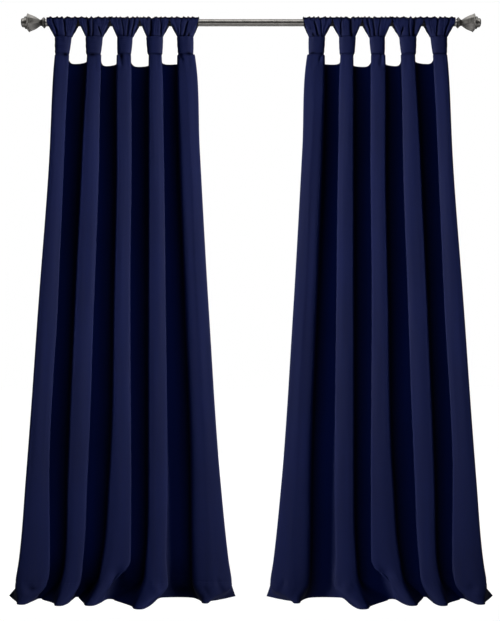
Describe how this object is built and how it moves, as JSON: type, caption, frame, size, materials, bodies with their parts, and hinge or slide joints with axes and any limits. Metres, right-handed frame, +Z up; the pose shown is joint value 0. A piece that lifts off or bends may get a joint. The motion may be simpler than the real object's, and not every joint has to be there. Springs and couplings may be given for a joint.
{
  "type": "pair of blackout curtains with their curtain rod",
  "caption": "Pair of navy blackout curtain panels with knotted tab tops, hanging open in soft pleats from a round metal curtain rod with flared eight-sided finials",
  "frame": {"origin": "middle of the rod's axis, which is also the plane that the two curtains mirror each other in", "axes": "+X to the viewer's right along the rod, +Y backwards towards the wall, +Z up; the pleated front faces -Y"},
  "size_m": [1.7932, 0.1358, 2.1561],
  "materials": {
    "panel_cloth": "dense matt triple weave with a faint satin sheen",
    "tab_cloth": "dense matt triple weave with a faint satin sheen",
    "knot_cloth": "dense matt triple weave with a faint satin sheen",
    "rod_metal": "satin pewter",
    "finial_metal": "satin pewter"
  },
  "bodies": {
    "root": {"pole": "rod_metal", "finial_left": "finial_metal", "panel_left": "panel_cloth", "tab_left_1": "tab_cloth", "knot_left_1": "knot_cloth", "tab_left_2": "tab_cloth", "knot_left_2": "knot_cloth", "tab_left_3": "tab_cloth", "knot_left_3": "knot_cloth", "tab_left_4": "tab_cloth", "knot_left_4": "knot_cloth", "tab_left_5": "tab_cloth", "knot_left_5": "knot_cloth", "finial_right": "finial_metal", "panel_right": "panel_cloth", "tab_right_1": "tab_cloth", "knot_right_1": "knot_cloth", "tab_right_2": "tab_cloth", "knot_right_2": "knot_cloth", "tab_right_3": "tab_cloth", "knot_right_3": "knot_cloth", "tab_right_4": "tab_cloth", "knot_right_4": "knot_cloth", "tab_right_5": "tab_cloth", "knot_right_5": "knot_cloth"}
  },
  "joints": []
}
